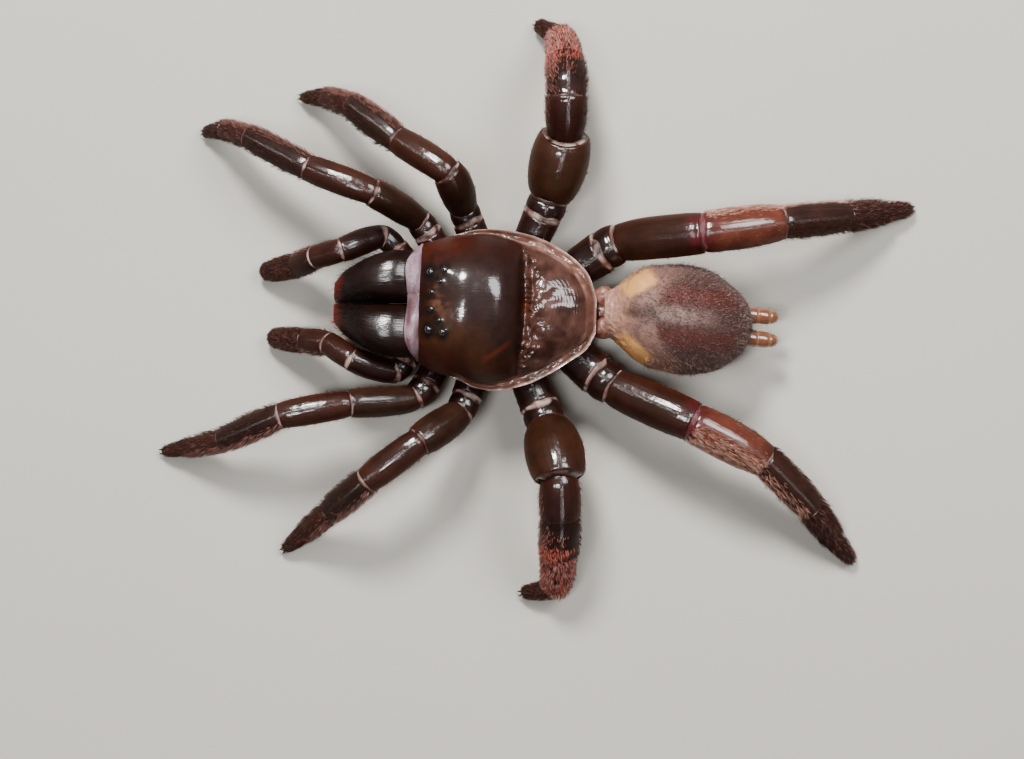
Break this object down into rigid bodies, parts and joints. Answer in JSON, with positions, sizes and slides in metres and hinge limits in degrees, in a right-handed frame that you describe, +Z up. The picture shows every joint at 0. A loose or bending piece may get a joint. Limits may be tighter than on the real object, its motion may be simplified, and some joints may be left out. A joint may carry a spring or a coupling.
{
  "type": "trapdoor spider",
  "caption": "Still life-size trapdoor spider with a glossy dark head shield, stout jaws and legs, and a velvety oval abdomen, standing on its feet.",
  "frame": {"origin": "centre of the whole box, at floor level under the feet", "axes": "+Z up through the back, -Y the way the head looks, +X to the spider's left side"},
  "size_m": [0.0364, 0.047, 0.0084],
  "materials": {
    "cuticle": "glossy dark mahogany cuticle with pale joint membranes",
    "bristly_cuticle": "dark brown cuticle under short bristles",
    "fang": "polished black horn",
    "eye": "clear domed lens over a pale ground",
    "velvet_hair": "short velvety brown hair with a paler front and yellowish bare flanks",
    "spinneret_skin": "translucent amber skin"
  },
  "bodies": {
    "root": {"abdomen": "velvet_hair", "carapace": "cuticle", "chelicera_left": "cuticle", "chelicera_right": "cuticle", "eye_anterior_lateral_left": "eye", "eye_anterior_lateral_right": "eye", "eye_anterior_median_left": "eye", "eye_anterior_median_right": "eye", "eye_posterior_lateral_left": "eye", "eye_posterior_lateral_right": "eye", "eye_posterior_median_left": "eye", "eye_posterior_median_right": "eye", "fang_left": "fang", "fang_right": "fang", "leg_1_left_coxa": "cuticle", "leg_1_left_femur": "cuticle", "leg_1_left_foot": "bristly_cuticle", "leg_1_left_patella_tibia": "cuticle", "leg_1_right_coxa": "cuticle", "leg_1_right_femur": "cuticle", "leg_1_right_foot": "bristly_cuticle", "leg_1_right_patella_tibia": "cuticle", "leg_2_left_coxa": "cuticle", "leg_2_left_femur": "cuticle", "leg_2_left_foot": "bristly_cuticle", "leg_2_left_patella_tibia": "cuticle", "leg_2_right_coxa": "cuticle", "leg_2_right_femur": "cuticle", "leg_2_right_foot": "bristly_cuticle", "leg_2_right_patella_tibia": "cuticle", "leg_3_left_coxa": "cuticle", "leg_3_left_femur": "cuticle", "leg_3_left_foot": "bristly_cuticle", "leg_3_left_patella_tibia": "cuticle", "leg_3_right_coxa": "cuticle", "leg_3_right_femur": "cuticle", "leg_3_right_foot": "bristly_cuticle", "leg_3_right_patella_tibia": "cuticle", "leg_4_left_coxa": "cuticle", "leg_4_left_femur": "cuticle", "leg_4_left_foot": "bristly_cuticle", "leg_4_left_patella_tibia": "cuticle", "leg_4_right_coxa": "cuticle", "leg_4_right_femur": "cuticle", "leg_4_right_foot": "bristly_cuticle", "leg_4_right_patella_tibia": "cuticle", "palp_left_coxa": "cuticle", "palp_left_femur": "cuticle", "palp_left_patella_tibia": "cuticle", "palp_left_tarsus": "bristly_cuticle", "palp_right_coxa": "cuticle", "palp_right_femur": "cuticle", "palp_right_patella_tibia": "cuticle", "palp_right_tarsus": "bristly_cuticle", "pedicel": "cuticle", "spinneret_lateral_left": "spinneret_skin", "spinneret_lateral_right": "spinneret_skin", "spinneret_median_left": "spinneret_skin", "spinneret_median_right": "spinneret_skin", "sternum": "cuticle"}
  },
  "joints": []
}
